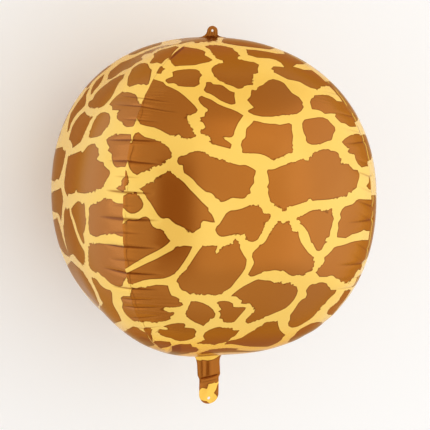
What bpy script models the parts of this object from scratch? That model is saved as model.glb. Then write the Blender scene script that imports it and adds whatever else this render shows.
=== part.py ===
# A foil balloon: four panels heat-sealed edge to edge into a ball, with a
# hanging tab at one end and a filling tail at the other. It lies on the middle
# of one panel. Metres, +Z up, +Y towards the tab. The origin is the middle of
# the spot that it rests on.

import math

import bmesh
import bpy

# The inflated ball
across_panels = 0.378       # between the middles of two opposite panels
across_seams = 0.422        # between two opposite seams, where the panels meet in a blunt corner
ball_length = 0.392         # between the two ends, without the tab and the tail
rest_dent = 0.0015          # how far the lowest panel is pressed flat where it lies
roundness = 0.928           # power on the sphere's sine and cosine: under 1 is fuller than an ellipse
end_corner_gain = 0.75      # how much sharper the seam corners are at the ends, as a share

# Puckers, where the slack film at a seam folds crosswise
pucker_count = 20           # along one seam, end to end
pucker_depth = 0.0020       # of a fold, at the seam itself
pucker_reach = 0.028        # how far into the panel a fold fades out

# Film that is sealed flat, in the tab and at the tail's end
film_thickness = 0.0012
film_root = 0.010           # how deep the tab and the tail start inside the ball
film_sink = 0.0015          # how deep their fillets start below the ball's end

# Hanging tab
tab_width = 0.0135
tab_length = 0.0138         # from the end of the ball
tab_root_width = 0.034      # where the gathered film spreads onto the ball
tab_root_thickness = 0.012
tab_root_length = 0.0045
tab_hole = 0.0030           # diameter
tab_hole_to_end = 0.0058    # from the hole's centre

# Filling tail: a neck that flares from the ball, a puffed tube, a seal and a flat end
tail_length = 0.0720        # from the end of the ball
neck_width = 0.044
neck_thickness = 0.030
neck_length = 0.0170
tube_width = 0.0292
tube_thickness = 0.0135
tube_end = 0.0345           # where the seal starts, from the end of the ball
tube_end_thickness = 0.0080
seal_length = 0.0085
flat_width = 0.0260
tail_hole = 0.0040          # diameter
tail_hole_to_end = 0.0075   # from the hole's centre

# Facets
panels = 4
columns_per_panel = 12
column_crowding = 0.5       # how much closer the columns stand at a seam than on average, as a share
rings_per_pucker = 4
film_sides = 24             # round the tab's and the tail's section
curve_steps = 6             # along a fillet or a rounded end
hole_sides = 20

mean_radius = (across_panels + across_seams) / 4
corner = (across_seams - across_panels) / (across_seams + across_panels)
half_length = ball_length / 2
centre_height = across_panels / 2 - rest_dent
panel_angle = 2 * math.pi / panels


# The scene starts empty
for old in list(bpy.data.objects):
    bpy.data.objects.remove(old, do_unlink=True)


def foil_material(name, colour, roughness, metallic):
    material = bpy.data.materials.new(name)
    material.use_nodes = True
    shader = material.node_tree.nodes["Principled BSDF"]
    shader.inputs["Base Color"].default_value = (*colour, 1)
    shader.inputs["Roughness"].default_value = roughness
    shader.inputs["Metallic"].default_value = metallic
    return material


def add_object(name, bm, location):
    mesh = bpy.data.meshes.new(name)
    bm.to_mesh(mesh)
    bm.free()
    mesh.shade_smooth()
    mesh.set_sharp_from_angle(angle=math.radians(40))
    item = bpy.data.objects.new(name, mesh)
    item.location = location
    bpy.context.collection.objects.link(item)
    return item


# A guide shapes another object and is no part of the balloon itself
def as_guide(item):
    item.display_type = "WIRE"
    item.hide_render = True
    return item


# Where a point of the ball lies, from its turn about the long axis, measured
# from straight up towards +X, and its latitude, measured towards the tab
def ball_point(turn, latitude):
    rise = math.copysign(abs(math.sin(latitude)) ** roundness, latitude)
    reach = abs(math.cos(latitude)) ** roundness
    from_seam = (turn % panel_angle) - panel_angle / 2
    square = math.cos(panels * from_seam)
    radius = mean_radius * reach * (1 + corner * square * (1 + end_corner_gain * rise ** 2))
    radius -= pucker(latitude, radius * abs(from_seam)) * reach
    x = radius * math.sin(turn)
    z = max(radius * math.cos(turn), -centre_height)
    return x, half_length * rise, z


# Depth of the crosswise folds, which run full depth at the seam and fade away from it
def pucker(latitude, seam_distance):
    bulge = abs(math.sin(pucker_count * latitude))
    return pucker_depth * (1 - bulge) * math.exp(-(seam_distance / pucker_reach) ** 2)


# The ball starts as a UV sphere. Its columns crowd towards the seams, its rings
# fall on the folds, and its axis turns from Z to Y.
def foil_ball():
    bm = bmesh.new()
    bmesh.ops.create_uvsphere(
        bm,
        u_segments=panels * columns_per_panel,
        v_segments=pucker_count * rings_per_pucker,
        radius=1,
    )
    for vert in bm.verts:
        turn = math.atan2(vert.co.y, vert.co.x)
        across = (turn / panel_angle + 0.5) % 1
        turn -= panel_angle * column_crowding * math.sin(2 * math.pi * across) / (2 * math.pi)
        latitude = math.asin(max(-1, min(1, vert.co.z)))
        vert.co = ball_point(turn, latitude)
    return add_object("foil_envelope", bm, (0, 0, centre_height))


# A strip of film, lofted along Y through stations of (distance, width,
# thickness, flatness). Flatness 1 is an oval section, and more of it squares
# the section off until its two faces are flat.
def film_strip(name, stations, direction, location):
    bm = bmesh.new()
    side = bm.verts.layers.int.new("side")
    bmesh.ops.create_circle(bm, cap_ends=True, segments=film_sides, radius=1)
    bm.faces.ensure_lookup_table()
    end = bm.faces[0]
    for number, vert in enumerate(end.verts):
        vert[side] = number

    def place(face, station):
        distance, width, thickness, flatness = station
        for vert in face.verts:
            angle = 2 * math.pi * vert[side] / film_sides
            across = width / 2 * math.cos(angle)
            up = thickness / 2 * max(-1, min(1, flatness * math.sin(angle)))
            vert.co = (across, direction * distance, up)

    place(end, stations[0])
    for station in stations[1:]:
        end = bmesh.ops.extrude_discrete_faces(bm, faces=[end])["faces"][0]
        place(end, station)
    bmesh.ops.holes_fill(bm, edges=bm.edges)
    bmesh.ops.recalc_face_normals(bm, faces=bm.faces)
    return as_guide(add_object(name, bm, location))


# A concave quarter curve from a wide root to a narrower stem
def fillet(start, length, root, stem, flatness):
    root_width, root_thickness = root
    stem_width, stem_thickness = stem
    for step in range(curve_steps + 1):
        along = step / curve_steps
        spread = 1 - math.sqrt(1 - (1 - along) ** 2)
        yield (
            start + length * along,
            stem_width + (root_width - stem_width) * spread,
            stem_thickness + (root_thickness - stem_thickness) * spread,
            flatness,
        )


# A half-round end of a flat strip
def rounded_end(length, width, thickness, flatness):
    for step in range(curve_steps + 1):
        angle = math.pi / 2 * step / (curve_steps + 0.5)
        yield (
            length - width / 2 * (1 - math.sin(angle)),
            width * math.cos(angle),
            thickness,
            flatness,
        )


def hanging_tab():
    flat = 6
    stations = [(-film_root, tab_root_width, tab_root_thickness, flat)]
    stations += fillet(
        -film_sink,
        tab_root_length + film_sink,
        (tab_root_width, tab_root_thickness),
        (tab_width, film_thickness),
        flat,
    )
    stations += rounded_end(tab_length, tab_width, film_thickness, flat)
    return film_strip("tab_guide", stations, 1, (0, half_length, centre_height))


def filling_tail():
    puffed = 1.15
    flat = 6
    stations = [(-film_root, neck_width, neck_thickness, puffed)]
    stations += fillet(
        -film_sink,
        neck_length + film_sink,
        (neck_width, neck_thickness),
        (tube_width, tube_thickness),
        puffed,
    )
    stations.append((tube_end, tube_width, tube_end_thickness, puffed))
    stations.append((tube_end + seal_length / 2, flat_width, film_thickness * 2, flat))
    stations.append((tube_end + seal_length, flat_width, film_thickness, flat))
    stations += rounded_end(tail_length, flat_width, film_thickness, flat)
    return film_strip("tail_guide", stations, -1, (0, -half_length, centre_height))


def hole_cutter(name, diameter, along):
    bm = bmesh.new()
    bmesh.ops.create_cone(
        bm,
        cap_ends=True,
        segments=hole_sides,
        radius1=diameter / 2,
        radius2=diameter / 2,
        depth=film_thickness * 4,
    )
    return as_guide(add_object(name, bm, (0, along, centre_height)))


def combine(item, guide, operation):
    boolean = item.modifiers.new(guide.name, "BOOLEAN")
    boolean.operation = operation
    boolean.solver = "EXACT"
    boolean.object = guide


balloon = foil_ball()
balloon.data.materials.append(foil_material("printed foil", (0.40, 0.17, 0.05), 0.28, 0.55))
combine(balloon, hanging_tab(), "UNION")
combine(balloon, filling_tail(), "UNION")
tab_hole_place = half_length + tab_length - tab_hole_to_end
combine(balloon, hole_cutter("tab_hole", tab_hole, tab_hole_place), "DIFFERENCE")
tail_hole_place = -half_length - tail_length + tail_hole_to_end
combine(balloon, hole_cutter("tail_hole", tail_hole, tail_hole_place), "DIFFERENCE")
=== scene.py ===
import math

import bmesh
import bpy
import numpy as np
from mathutils import Matrix, Vector


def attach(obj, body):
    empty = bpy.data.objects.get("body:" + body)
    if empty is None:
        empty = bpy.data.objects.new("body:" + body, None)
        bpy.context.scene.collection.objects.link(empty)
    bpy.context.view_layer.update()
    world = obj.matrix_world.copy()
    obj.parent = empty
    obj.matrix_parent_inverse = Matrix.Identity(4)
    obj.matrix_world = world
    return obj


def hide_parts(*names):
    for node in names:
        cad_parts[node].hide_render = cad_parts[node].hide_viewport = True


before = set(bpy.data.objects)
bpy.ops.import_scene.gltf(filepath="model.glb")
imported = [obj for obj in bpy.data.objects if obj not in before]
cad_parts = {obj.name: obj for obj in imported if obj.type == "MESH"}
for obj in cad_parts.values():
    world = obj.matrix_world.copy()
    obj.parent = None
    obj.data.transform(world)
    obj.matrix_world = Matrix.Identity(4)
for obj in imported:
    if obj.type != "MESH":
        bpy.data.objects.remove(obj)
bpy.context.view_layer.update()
print("frame loaded")

solidNode = "foil_envelope"
tiny = 1e-12                  # keeps a division off zero


# The inflated ball, as the solid has it

ball = {
    "acrossPanels": 0.378,
    "acrossSeams": 0.422,
    "length": 0.392,
    "restDent": 0.0015,       # how far the lowest panel is pressed flat
    "roundness": 0.928,
    "endCornerGain": 0.75,
    "columns": 144,           # of faces in one panel, from seam to seam
    "rows": 665,              # of faces, from end to end
    "crowding": 0.3,          # how much closer the columns stand at a seam
    "merge": 0.00001,         # points closer than this become one, as at the ball's ends
}
meanRadius = (ball["acrossPanels"] + ball["acrossSeams"]) / 4
corner = (ball["acrossSeams"] - ball["acrossPanels"]) / (4 * meanRadius)
halfLength = ball["length"] / 2
centreHeight = ball["acrossPanels"] / 2 - ball["restDent"]
quarter = math.pi / 2


def smoothStep(low, high, x):
    t = np.clip((x - low) / (high - low), 0, 1)
    return t * t * (3 - 2 * t)


def bell(x, width):
    return np.exp(-(x / width) ** 2)


def reachAt(latitude):                 # of the distance from the long axis, 1 at the ball's middle
    return np.abs(np.cos(latitude)) ** ball["roundness"]


# Turn is counted about the long axis from straight up towards +X, latitude towards the tab
def ballPoint(turn, latitude, lift=0):
    rise = np.sign(latitude) * np.abs(np.sin(latitude)) ** ball["roundness"]
    reach = reachAt(latitude)
    square = -np.cos(4 * turn)
    radius = meanRadius * reach * (1 + corner * square * (1 + ball["endCornerGain"] * rise ** 2))
    radius = radius + lift * reach
    x = radius * np.sin(turn)
    z = np.maximum(radius * np.cos(turn), -centreHeight)
    return np.stack([x, halfLength * rise + 0 * turn, z + centreHeight], -1)


# Camera, where the photographer stood: above the lying ball, with the tab at the top

view = {
    "frame": 430,                      # pixels, each way
    "ballAt": (210.1, 196.2),          # where the ball's middle shows
    "meanRadius": 160.9,               # of the ball, in pixels
    "turn": math.radians(-18.1),
    "rise": math.radians(8.5),
    "roll": math.radians(-0.8),
    "distance": 1304,                  # in pixels at the ball's middle
    "farthest": 50,
}
pixel = meanRadius / view["meanRadius"]
ballMiddle = Vector((0, 0, centreHeight))


def makeCamera():
    t, e, r = view["turn"], view["rise"], view["roll"]
    away = Vector((math.sin(t) * math.cos(e), math.sin(e), math.cos(t) * math.cos(e)))
    up = Vector((-math.sin(t) * math.sin(e), math.cos(e), -math.cos(t) * math.sin(e)))
    right = up.cross(away)
    right, up = right * math.cos(r) - up * math.sin(r), right * math.sin(r) + up * math.cos(r)
    place = ballMiddle + away * view["distance"] * pixel
    middle = view["frame"] / 2
    aim = ballMiddle + right * (middle - view["ballAt"][0]) * pixel
    aim -= up * (middle - view["ballAt"][1]) * pixel
    back = (place - aim).normalized()
    right = up.cross(back).normalized()
    up = back.cross(right)
    data = bpy.data.cameras.new("camera")
    data.lens = data.sensor_width * view["distance"] / view["frame"]
    data.clip_end = view["farthest"]
    camera = bpy.data.objects.new("camera", data)
    turned = Matrix((right, up, back)).transposed().to_4x4()
    camera.matrix_world = Matrix.Translation(place) @ turned
    bpy.context.collection.objects.link(camera)
    bpy.context.scene.camera = camera
    return np.array(place), np.array(right), np.array(up), np.array(back)


eye = makeCamera()
print("camera placed")


# Where a point shows in the photograph's frame, in pixels
def toPixels(points):
    place, right, up, back = eye
    ray = points - place
    scale = -view["distance"] / (ray @ back)
    middle = view["frame"] / 2
    return np.stack([middle + ray @ right * scale, middle - ray @ up * scale], -1)


# Where a pixel falls on a level plane, as across and along
def toLevel(pixels, height):
    place, right, up, back = eye
    offset = (np.array(pixels, float) - view["frame"] / 2) / view["distance"]
    ray = offset[:, :1] * right - offset[:, 1:] * up - back
    return (place + ray * ((height - place[2]) / ray[:, 2])[:, None])[:, :2]


search = {
    "turns": 721,             # points round the ball that its outline is found from
    "latitudes": 361,
    "sure": 0.985,            # of the way out to the limb, up to where a pixel is looked up exactly
    "behind": 4.0,            # radians round the back for each limb radius past the limb
    "steps": 14,
    "nudge": 0.001,
    "damping": 30.0,
    "stride": 0.15,           # the farthest that one step goes, in radians
    "leastRadius": 1e-6,
    "lastLatitude": 1.55,
}


# The ball's outline in the frame: its distance from the middle at each whole degree
def findLimb():
    turns = np.linspace(-math.pi, math.pi, search["turns"])
    latitudes = np.linspace(-quarter, quarter, search["latitudes"])
    seen = toPixels(ballPoint(*np.meshgrid(turns, latitudes))) - view["ballAt"]
    bearing = np.degrees(np.arctan2(seen[..., 1], seen[..., 0])).round().astype(int) % 360
    limb = np.zeros(360)
    np.maximum.at(limb, bearing, np.hypot(seen[..., 0], seen[..., 1]))
    return limb


limb = findLimb()


# Direction of a point from the middle of a sphere
def sphereDirection(turn, latitude):
    reach = np.cos(latitude)
    return np.stack([np.sin(turn) * reach, np.sin(latitude), np.cos(turn) * reach], -1)


# Where a pixel falls on the ball, as turn and latitude. Past the outline it goes on round the back.
def toBall(pixels):
    place, right, up, back = eye
    away = (place - np.array(ballMiddle)) / np.linalg.norm(place - np.array(ballMiddle))
    seen = np.array(pixels, float) - view["ballAt"]
    radius = np.hypot(seen[:, 0], seen[:, 1]) + search["leastRadius"]
    bearing = np.degrees(np.arctan2(seen[:, 1], seen[:, 0]))
    share = radius / np.interp(bearing, np.arange(360), limb, period=360)
    near = np.minimum(share, search["sure"])
    target = seen * (near / share)[:, None] + view["ballAt"]
    aside = (seen[:, :1] * right - seen[:, 1:] * up) / radius[:, None]
    start = away * np.sqrt(1 - near ** 2)[:, None] + aside * near[:, None]
    turn = np.arctan2(start[:, 0], start[:, 2])
    latitude = np.arcsin(np.clip(start[:, 1], -1, 1))
    stride, last = search["stride"], search["lastLatitude"]
    for step in range(search["steps"]):
        here = toPixels(ballPoint(turn, latitude))
        byTurn = toPixels(ballPoint(turn + search["nudge"], latitude)) - here
        byLatitude = toPixels(ballPoint(turn, latitude + search["nudge"])) - here
        slope = np.stack([byTurn, byLatitude], -1) / search["nudge"]
        flipped = slope.transpose(0, 2, 1)
        square = flipped @ slope + search["damping"] * np.eye(2)
        change = np.linalg.solve(square, flipped @ (target - here)[..., None])[..., 0]
        change = np.clip(change, -stride, stride)
        turn = turn + change[:, 0]
        latitude = np.clip(latitude + change[:, 1], -last, last)
    past = np.arcsin(np.minimum(share, 1)) - np.arcsin(near) + search["behind"] * np.maximum(share - 1, 0)
    outward = sphereDirection(turn, latitude)
    level = away - (outward @ away)[:, None] * outward
    level = level / np.linalg.norm(level, axis=-1)[:, None]
    outward = outward * np.cos(past)[:, None] - level * np.sin(past)[:, None]
    moved = past > 0
    turn = np.where(moved, np.arctan2(outward[:, 0], outward[:, 2]), turn)
    latitude = np.where(moved, np.arcsin(np.clip(outward[:, 1], -1, 1)), latitude)
    return turn, latitude


# How squarely the ball faces the photographer at a point: 1 full on, below 0 on the far side
def facingCamera(turn, latitude):
    nudge = search["nudge"]
    here = ballPoint(turn, latitude)
    outward = np.cross(ballPoint(turn + nudge, latitude) - here, ballPoint(turn, latitude + nudge) - here)
    toEye = eye[0] - here
    size = np.linalg.norm(outward, axis=-1) * np.linalg.norm(toEye, axis=-1) + tiny
    return np.sum(outward * toEye, -1) / size


# Metres across and along the film, counted from a line of the given turn
def toSheet(turn, latitude, middle):
    aside = (turn - middle + math.pi) % (2 * math.pi) - math.pi
    return np.stack([meanRadius * reachAt(latitude) * aside, meanRadius * latitude], -1)


# Print. Each panel's patches as they show in the photograph's frame, read one by one. A patch that
# passes under a seam or round the ball's outline is drawn past it, and is cut or goes on there.

# This one lies across the left seam, so both panels have it
seamPatch = [
    (156, 73.5), (157.5, 70), (160, 66.5), (162, 66), (163, 68), (165.3, 68.7), (162, 71), (161, 73.8),
]

patchOutlines = {
    "top_panel": [
        [(184, 46.5), (190, 47.6), (197, 48.6), (202, 50), (206, 52), (204.5, 55), (208.5, 57.2),
         (212.7, 60), (209, 62), (200, 63.8), (195, 65.2), (180, 65.8), (175, 66.5), (171.5, 63),
         (170.3, 60), (164, 58), (174, 46)],
        [(204, 46), (210, 45), (218, 45.2), (226, 46.3), (232, 48), (236, 51), (240.5, 55.5),
         (237.5, 58.8), (243, 60), (248, 61.5), (254, 62), (259.2, 64.8), (257.8, 69), (258.5, 73),
         (254, 74), (252.3, 79), (253, 84), (248, 85.5), (244.5, 86), (243, 88), (240, 88.8),
         (237.5, 88.7), (233, 86.3), (226, 84), (219, 81), (214.5, 76.5), (211.5, 71), (211.5, 68.5),
         (214, 66), (217, 64), (222, 62.8), (224, 61.3), (219, 59.8), (215.5, 57.5), (212.5, 53.5),
         (210, 49.8)],
        [(183, 69.5), (190, 69), (196, 69.3), (199.5, 71), (200, 73), (202.3, 75), (200, 77.5),
         (199.3, 81), (199.8, 84), (197.5, 85.5), (194.5, 87), (185, 86.8), (178, 86), (176, 84),
         (173.5, 83.2), (168, 83.5), (165.2, 81), (166, 79.2), (170, 77.5), (173, 76.5), (172.5, 73.5),
         (172, 72), (176, 70.5)],
        [(206, 82), (211, 82), (213, 84.2), (218, 84.5), (222, 85.5), (226, 88), (230, 91),
         (234.8, 92.5), (234.5, 96), (235.8, 104), (231, 104.7), (226, 103), (220, 100.3), (214, 96),
         (210, 93.8), (206, 92.5), (203.6, 90), (205, 87.3), (206, 85)],
        [(247, 100), (251, 96), (252, 90.5), (255.5, 90), (262, 84.5), (268, 80.5), (273, 79),
         (279, 80.5), (284, 83), (288, 88), (292, 93), (299, 97), (303, 102.5), (302.5, 104.5),
         (304, 107), (301.5, 111), (297, 114), (289, 115), (281, 115.3), (272, 116.8), (262, 116.7),
         (254, 115), (249, 112.5), (247.5, 110.8), (250, 109.3), (254, 107.5), (250.5, 104),
         (248.5, 101.5)],
        [(246, 49.3), (256, 50), (266, 51.5), (276, 53.5), (286, 56.3), (295, 59.5), (301, 63.5),
         (304, 66), (299.5, 64.2), (296.5, 64.2), (293, 66.6), (298, 67.8), (304, 69.8), (309, 71),
         (313, 73.5), (318, 76.5), (322, 80), (325.5, 84), (324, 86.5), (322, 86.5), (320, 88.5),
         (318, 89), (317.5, 90.5), (316, 89), (311, 88), (306, 85.5), (300, 82), (294, 80.5),
         (288, 79.5), (282, 76.5), (277, 73.8), (273.5, 72.3), (274, 70.5), (271, 69), (273.5, 66.3),
         (280, 66.7), (284.5, 67.3), (281, 62.8), (276, 60), (270, 58.5), (263, 58), (257, 57.7),
         (253, 56.3), (248, 55)],
        [(314, 95.3), (323, 94.7), (328.5, 95.3), (333, 97.5), (337, 101), (343, 105.5), (347, 109),
         (353, 113), (358, 124), (353, 126.8), (350, 127), (348, 125.5), (345, 123.5), (341, 122.8),
         (338, 120), (335, 116.5), (336, 113.8), (330, 113.5), (325, 114), (321, 111), (317, 109.8),
         (312, 109.3), (311, 105.5), (310, 102), (311.5, 98.5), (314.5, 97)],
        [(304.5, 119.5), (310, 118.5), (318, 117.2), (323, 117.3), (328, 119.5), (331, 123), (335, 127),
         (335.6, 130.5), (333.5, 134), (332.5, 138), (331.5, 140.5), (328, 141), (322, 143.5),
         (316, 144.8), (311, 144.6), (307.5, 143), (306, 140.5), (306, 137), (303.8, 133), (302.5, 128),
         (302.3, 123)],
        [(341.8, 142), (345, 138.5), (350, 135.3), (356, 133.7), (361, 136), (368, 141), (373, 166),
         (366, 166.3), (361.5, 167.5), (358, 164), (356, 159.5), (354.5, 154.5), (350, 153.3),
         (347.5, 150.5), (349.5, 148.8), (345.5, 146)],
        [(253, 120.5), (258, 121.3), (264, 123), (270, 123.7), (275, 123.8), (280, 124.8), (284, 124),
         (289, 123), (292, 124.5), (292, 130), (293.2, 136), (292.5, 143), (293.3, 151.5), (288, 154.5),
         (283, 157), (277, 159.5), (273, 160.5), (270, 158.8), (266, 156), (260, 154), (254, 153.5),
         (248, 153.5), (242, 153), (242.3, 149.5), (240.8, 145), (242, 140.5), (245.5, 137.5),
         (245.8, 132), (246.3, 128.5), (250, 125), (252.5, 122.5)],
        [(199, 97), (201.5, 95.7), (205, 97.3), (211, 99.5), (218, 104), (225, 107), (232, 109.3),
         (238, 112), (243.5, 115.5), (241, 119), (238, 123.5), (236, 128), (234.7, 131), (234, 134.5),
         (232.5, 137), (229, 137.7), (226, 137.2), (223, 136.8), (225, 139.5), (229, 142),
         (231.8, 144.5), (230.5, 149), (225, 147.5), (219, 146), (214, 144.5), (209, 142),
         (211.5, 140.3), (210.5, 138), (207.5, 136), (204, 135.5), (201.5, 133.5), (200, 130),
         (204.5, 128.5), (205.3, 127), (203, 122.5), (199.2, 121), (201.3, 120), (199.5, 117.5),
         (204.5, 116.5), (205, 112.5), (207.8, 111), (207.5, 109), (203.5, 106.5), (200, 103),
         (198.3, 99.5)],
        [(152, 78.5), (158, 80.5), (163, 82), (166, 85.5), (172, 88), (178, 91), (184, 95.5),
         (190, 101), (195, 106), (197.8, 110), (196, 113), (190, 115), (186.5, 115.3), (185.8, 118),
         (187.5, 121.5), (190.5, 124.5), (193, 129), (194.5, 133), (195.3, 136.8), (190, 138.5),
         (187, 139.7), (183.5, 138.5), (180, 136), (177.5, 134), (174.5, 136.7), (167, 134), (160, 130),
         (154, 127.5), (146, 126), (140.5, 124.3), (137.5, 120), (136, 117), (130, 112), (140, 92),
         (149, 81)],
        [(133.3, 137.5), (135, 133.5), (138.5, 132), (141, 134.2), (145, 137), (150, 138.3),
         (155, 139.5), (160, 141.5), (165, 144.5), (169, 148), (172, 153.5), (171.5, 157), (168, 159.5),
         (163, 163.5), (160, 166), (156, 166.3), (152, 168.5), (146, 171), (140, 173.2), (137.3, 175.2),
         (133, 173), (130, 169), (128.7, 165), (127.5, 161), (122, 160), (124, 145), (131.5, 142.5)],
        [(125, 169), (127, 171), (128, 177), (129.2, 180.5), (127.3, 184), (126, 188), (123.5, 191.5),
         (118, 191), (120, 170)],
        [(127.5, 193.3), (136, 192.8), (138.5, 196), (141.5, 199), (143.5, 204), (142.5, 208),
         (139, 211.5), (135, 213.5), (131, 213.7), (127.5, 211.8), (124.3, 208.5), (119, 206),
         (119, 196), (124, 195.5)],
        [(168.5, 170), (172, 173), (178, 177.5), (184, 182.5), (190, 189.5), (196, 195.5), (202, 202),
         (208.5, 208), (208.5, 211), (212, 214.5), (214, 219), (215.2, 222.5), (211, 222.5),
         (206, 221.2), (203, 221), (201, 223.5), (200.8, 228), (197, 230), (195, 233), (192, 233),
         (188, 231.5), (184, 228), (180, 226), (176, 224.5), (172, 221.5), (169, 218.5), (166.5, 218),
         (163, 219), (160, 217.5), (157, 214), (154, 209), (150, 202.5), (146, 197.5), (143, 193.5),
         (139.8, 188.5), (143, 186), (149, 183), (154, 181.5), (155, 178), (159, 177.2), (163, 175),
         (166, 172)],
        [(178, 157.5), (181, 156), (185, 155), (190, 152.5), (195, 151.2), (201, 151), (205, 152),
         (208, 154), (211, 156.5), (218, 158.5), (226, 161.5), (233, 163.5), (240, 165.3), (245, 164.7),
         (249, 166.3), (253, 168.5), (256, 170.5), (255.5, 174), (254, 177.5), (254.3, 183),
         (251.5, 186.5), (250, 189), (250.5, 193), (247, 196.5), (244, 198.8), (240, 198.7),
         (232, 197.8), (229, 199.5), (225, 201.5), (220, 202.5), (219.3, 200), (217.5, 198.8),
         (215.5, 198.5), (214, 195.5), (211, 193), (206, 192), (202, 189), (197, 184.5), (193, 179.5),
         (188, 175.5), (184, 173), (183, 169), (182.8, 165), (179, 165), (177.3, 162.5), (177, 160)],
        [(267, 169.5), (274, 169.3), (280, 166.5), (288, 163.8), (296, 161), (303, 158.3), (305.5, 160),
         (306.8, 161.5), (309, 159), (312, 155), (316, 151.5), (322, 149.7), (328, 148.7), (332, 151),
         (336, 151), (338.5, 153.5), (340, 157.5), (341.5, 159), (340.5, 162.5), (345, 164),
         (349, 164.3), (351, 166.5), (353.5, 169.5), (358, 170), (359.8, 174), (359.3, 178),
         (357.8, 183), (357, 188), (354, 189.5), (350, 193), (346, 197), (338, 198), (330, 199.5),
         (322, 200.2), (316, 200.5), (312, 201.2), (311, 198.8), (309, 199), (307.5, 201.5), (300, 204),
         (292, 206.5), (290, 206.3), (288, 208), (286, 210.5), (284, 211), (281, 209.5), (277, 206.5),
         (273, 204.5), (270.5, 201.5), (269, 197), (268, 193), (268.5, 189), (267, 187), (269, 183),
         (268.3, 177), (267, 172)],
        [(369, 173), (371, 171.5), (376, 176), (377, 191), (371, 192), (369, 189.5), (366.2, 186),
         (368.5, 182.5), (368.8, 177)],
        [(340, 214), (342, 209.5), (345, 206.5), (349, 205.3), (353, 204), (356.5, 200.5), (359, 199),
         (364, 199.3), (376, 199), (378, 229), (370, 230), (366, 231), (364, 229.8), (361, 231.8),
         (357, 233.3), (352, 234.5), (349, 236.5), (346, 238.3), (341, 237.8), (337, 237.5),
         (337.3, 233), (338.5, 228), (338, 223), (341, 218), (340.5, 216)],
        [(297, 220.5), (297.5, 218), (302, 215.5), (306, 213.5), (309, 211.5), (313, 210), (318, 209.5),
         (321, 209.3), (322.5, 211), (325, 211), (327, 211.3), (330, 209), (332.5, 209.2), (333, 214),
         (333.7, 219.5), (332.5, 225), (330.5, 231), (329.8, 237), (326.5, 238), (325.3, 241),
         (328, 242), (325, 243.5), (323.5, 246.5), (322, 249.5), (319, 251.5), (316.5, 250.5),
         (314.5, 247), (313, 243.5), (311, 242.5), (310, 238), (308, 232.5), (305, 228), (301, 224),
         (299.5, 221.5)],
        [(279.5, 220), (281, 221.5), (283, 224), (286.5, 222), (289.5, 221), (290.3, 225.5),
         (292.5, 230), (295.5, 231.8), (298.5, 231.3), (299, 236), (301, 242), (304, 246.5), (308, 252),
         (311, 255), (314, 257.5), (314, 260), (315.5, 262), (314, 266), (312, 270), (308, 273),
         (303, 275.3), (297, 275.3), (293.5, 276.5), (289, 274.8), (286, 272.5), (283, 270.5),
         (280.5, 271.5), (278, 270.5), (274, 270.3), (270, 271), (264, 272), (258, 274.5), (254, 276.3),
         (250.5, 276.8), (248, 274.5), (250.5, 270), (253.5, 264.5), (254, 262), (252, 257),
         (252.5, 253), (256, 249), (258.8, 247), (259.5, 244.8), (263, 244), (266, 240.5), (269, 234.5),
         (272, 230), (276, 224)],
        [(222, 220), (226, 213.5), (230, 210.5), (236, 210), (242, 208.5), (248, 206), (254, 204),
         (258, 205), (261, 208), (264, 212), (266, 213.5), (270.5, 213.8), (270.8, 217), (268, 221),
         (264.5, 224.5), (263, 230), (260.5, 235), (258, 239.5), (254, 242), (249.5, 241.8),
         (246.5, 239), (245, 236), (244.5, 233.5), (242.5, 235), (237, 234.8), (233, 234.8), (228, 236),
         (224, 236.8), (220, 236.7), (217, 234), (215.2, 230), (216.5, 226.5), (219.5, 224)],
        [(176.2, 281.5), (178, 277.5), (182, 273), (187, 268), (190.5, 263), (194, 257.5), (198, 251.5),
         (201.5, 247), (203.5, 245), (205, 246), (210, 245.7), (215, 245.3), (218.5, 245.6),
         (216.5, 249), (215.5, 252), (216.8, 253.6), (219.5, 250.5), (224, 246), (228, 244.3),
         (232.5, 243.3), (234, 239.8), (235.5, 239.3), (238.5, 243), (240.5, 249), (243.5, 254.5),
         (246.8, 259.5), (246.2, 265), (245, 269), (241, 275), (236, 281), (231, 287.5), (226, 290.8),
         (220, 294.5), (214, 295.3), (209, 294.5), (206, 294.5), (203.5, 295.7), (201, 294.8),
         (197, 294.5), (195, 293.3), (190.5, 295), (188.5, 293.5), (186, 291.5), (182, 290.5),
         (179.5, 287.5), (178.3, 283.5)],
        [(192.5, 246.5), (184, 245.5), (180, 246.7), (176, 246), (173, 250), (167, 253), (155, 259.5),
         (147, 263), (140, 266.5), (133, 270), (127, 272.8), (118, 274), (118, 279), (127, 277),
         (128.5, 283.5), (131, 284.5), (137, 282.7), (143, 280.5), (150, 279.3), (158, 279),
         (164, 278.5), (170, 276.5), (175, 273.5), (179, 269), (184, 262), (189, 254)],
        [(127.5, 219.3), (133, 220), (138, 219.5), (142, 217.2), (146, 216.3), (149, 218.5),
         (150.5, 222.5), (153, 226.5), (157, 228.7), (161, 229), (164, 231.5), (166, 235.5),
         (168.5, 239), (170.5, 241), (167, 244.5), (163, 247.5), (158, 250.5), (152, 253.5),
         (146, 256.5), (140, 260), (134, 263.5), (126.5, 268.5), (116, 272), (116, 224),
         (124.5, 222.5)],
        [(131, 288.3), (137, 287.5), (143, 287.2), (150, 286), (156, 284.8), (163, 285), (168, 285.5),
         (168.8, 289), (170, 292.5), (171.5, 295.5), (176, 297), (179.5, 299), (179, 302), (182, 302.5),
         (183.2, 305), (180, 306.7), (176, 307.5), (170, 307.5), (165, 307.7), (162, 308.7),
         (164.5, 311), (170, 312.3), (176.5, 312), (173, 315), (170, 317), (171, 319), (166, 321),
         (160, 322), (153, 322.6), (148, 321.8), (141, 322), (137, 323), (131, 321), (120, 300),
         (126, 297), (130.5, 297.5)],
        [(191, 301.2), (197, 301.3), (203, 303), (209, 306), (213, 309.5), (215.5, 314), (214.5, 317.5),
         (212, 319), (210.5, 318.5), (209, 321.5), (206, 323.5), (203.5, 326.2), (200, 324.5),
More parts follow.
